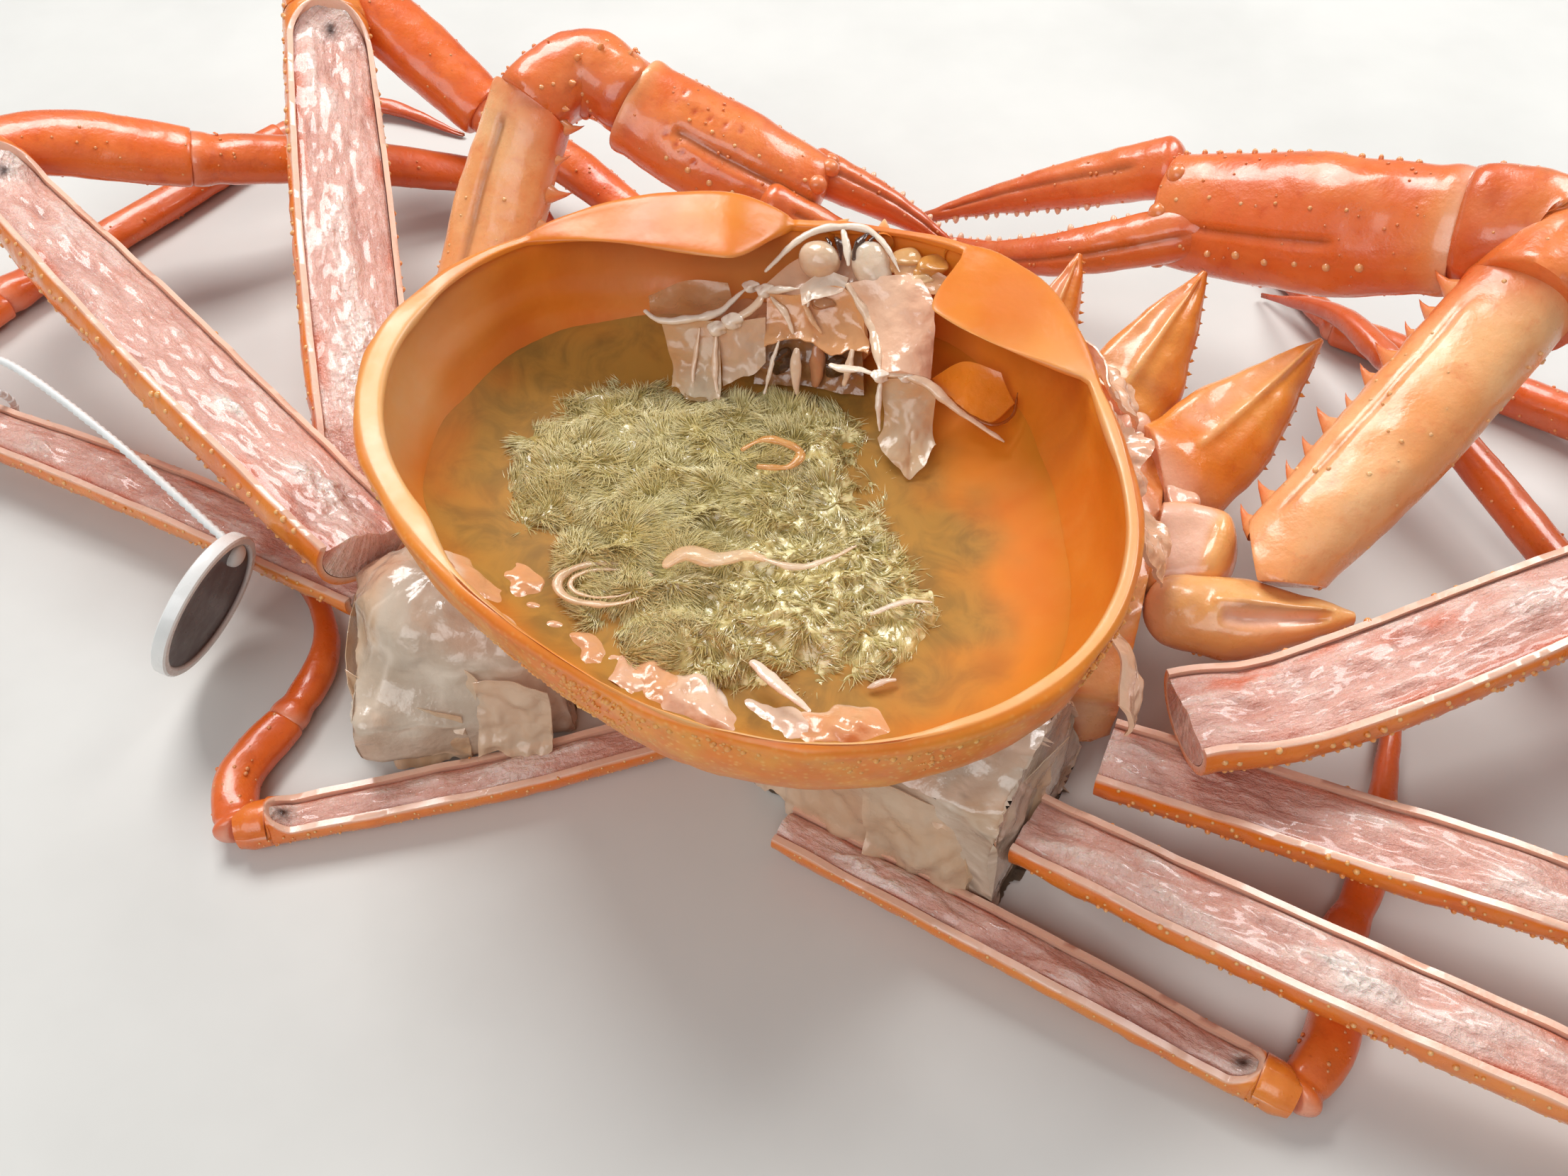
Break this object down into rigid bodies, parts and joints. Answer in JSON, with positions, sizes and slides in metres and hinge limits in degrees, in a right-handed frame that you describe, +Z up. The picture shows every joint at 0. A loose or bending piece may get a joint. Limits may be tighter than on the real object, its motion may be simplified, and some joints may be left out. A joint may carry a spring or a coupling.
{
  "type": "cooked and opened red snow crab",
  "caption": "Still model of a cooked red snow crab laid out for serving: upturned shell bowl with its insides, claws and slit legs round it, resting on a flat surface.",
  "frame": {"origin": "centre of the bounding box, on the floor the crab rests on", "axes": "+Z up, +X to the right of the picture and along the spread of the legs, +Y away from the viewer"},
  "size_m": [0.444, 0.3194, 0.0771],
  "materials": {
    "shell": "cooked orange shell, wet gloss",
    "shell_dark": "red shell of the outer joints, wet gloss",
    "shell_pale": "pale orange underside shell, satin",
    "leg_meat": "pink meat, moist",
    "clear_flesh": "cloudy flesh and skins, wet",
    "insides": "olive paste in amber liquid, wet",
    "eye": "dark banded, under clear skin",
    "tag": "white plastic"
  },
  "bodies": {
    "root": {"carapace": "shell", "insides": "insides", "thorax": "shell", "flesh_left": "clear_flesh", "flesh_right": "clear_flesh", "leg_base_right_1": "shell", "leg_base_right_2": "shell", "leg_base_right_3": "shell", "claw_right_base": "shell_pale", "claw_left_base": "shell", "mouth_skins": "clear_flesh", "eye_left": "eye", "eye_right": "eye", "leg_left_1_merus": "shell", "leg_left_1_flesh": "leg_meat", "leg_left_1_carpus": "shell", "leg_left_1_propodus": "shell_dark", "leg_left_1_dactylus": "shell_dark", "leg_left_2_merus": "shell", "leg_left_2_flesh": "leg_meat", "leg_left_2_carpus": "shell", "leg_left_2_propodus": "shell_dark", "leg_left_2_dactylus": "shell_dark", "leg_left_3_merus": "shell", "leg_left_3_flesh": "leg_meat", "leg_left_3_carpus": "shell", "leg_left_3_propodus": "shell_dark", "leg_left_3_dactylus": "shell_dark", "leg_left_4_merus": "shell", "leg_left_4_flesh": "leg_meat", "leg_left_4_carpus": "shell", "leg_left_4_foot": "shell_dark", "leg_right_1_merus": "shell", "leg_right_1_flesh": "leg_meat", "leg_right_1_carpus": "shell", "leg_right_1_propodus": "shell_dark", "leg_right_1_dactylus": "shell_dark", "leg_right_2_merus": "shell", "leg_right_2_flesh": "leg_meat", "leg_right_2_carpus": "shell", "leg_right_2_propodus": "shell_dark", "leg_right_2_dactylus": "shell_dark", "leg_right_3_merus": "shell", "leg_right_3_flesh": "leg_meat", "leg_right_3_carpus": "shell", "leg_right_3_propodus": "shell_dark", "leg_right_3_dactylus": "shell_dark", "leg_right_4_merus": "shell", "leg_right_4_flesh": "leg_meat", "leg_right_4_carpus": "shell", "leg_right_4_foot": "shell_dark", "claw_left_merus": "shell_pale", "claw_left_carpus": "shell", "claw_left_palm": "shell", "claw_left_finger": "shell_dark", "claw_right_merus": "shell_pale", "claw_right_carpus": "shell", "claw_right_palm": "shell", "claw_right_finger": "shell_dark", "tag": "tag"}
  },
  "joints": []
}
